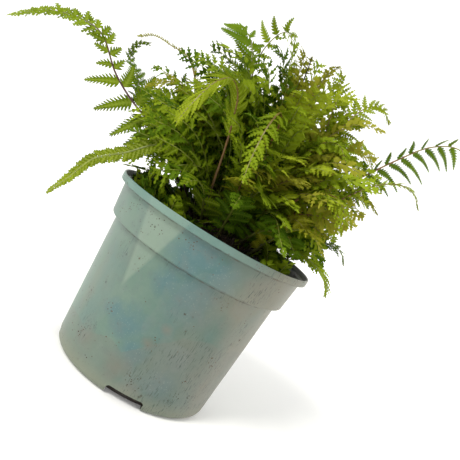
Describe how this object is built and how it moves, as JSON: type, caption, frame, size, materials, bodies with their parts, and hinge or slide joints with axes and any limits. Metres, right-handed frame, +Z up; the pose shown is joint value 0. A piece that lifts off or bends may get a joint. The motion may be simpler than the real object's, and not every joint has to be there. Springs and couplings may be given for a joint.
{
  "type": "potted painted fern",
  "caption": "Living-size fern with arching, finely cut fronds on dark stalks, growing in a blue-green plastic nursery pot.",
  "frame": {"origin": "centre of the pot's base, on the surface that it stands on", "axes": "+Z up along the pot's axis; the pictured side faces -Y, and the picture looks along +Y with +X to the right"},
  "size_m": [0.3444, 0.2387, 0.278],
  "materials": {
    "pot_plastic": "satin blue-green polypropylene with scuffs and specks of soil",
    "potting_mix": "dark moist potting mix of peat, bark and grit",
    "rhizome": "brown scaly rhizome",
    "frond": "soft yellow-green leaf, satin, on a dark purple-brown rachis"
  },
  "bodies": {
    "root": {"pot": "pot_plastic", "potting_mix": "potting_mix", "rhizome": "rhizome", "frond_01": "frond", "frond_02": "frond", "frond_03": "frond", "frond_04": "frond", "frond_05": "frond", "frond_06": "frond", "frond_07": "frond", "frond_08": "frond", "frond_09": "frond", "frond_10": "frond", "frond_11": "frond", "frond_12": "frond", "frond_13": "frond", "frond_14": "frond", "frond_15": "frond", "frond_16": "frond", "frond_17": "frond", "frond_18": "frond", "frond_19": "frond", "frond_20": "frond", "frond_21": "frond", "frond_22": "frond", "frond_23": "frond", "frond_24": "frond", "frond_25": "frond", "frond_26": "frond", "frond_27": "frond", "frond_28": "frond", "frond_29": "frond", "frond_30": "frond", "frond_31": "frond", "frond_32": "frond"}
  },
  "joints": []
}
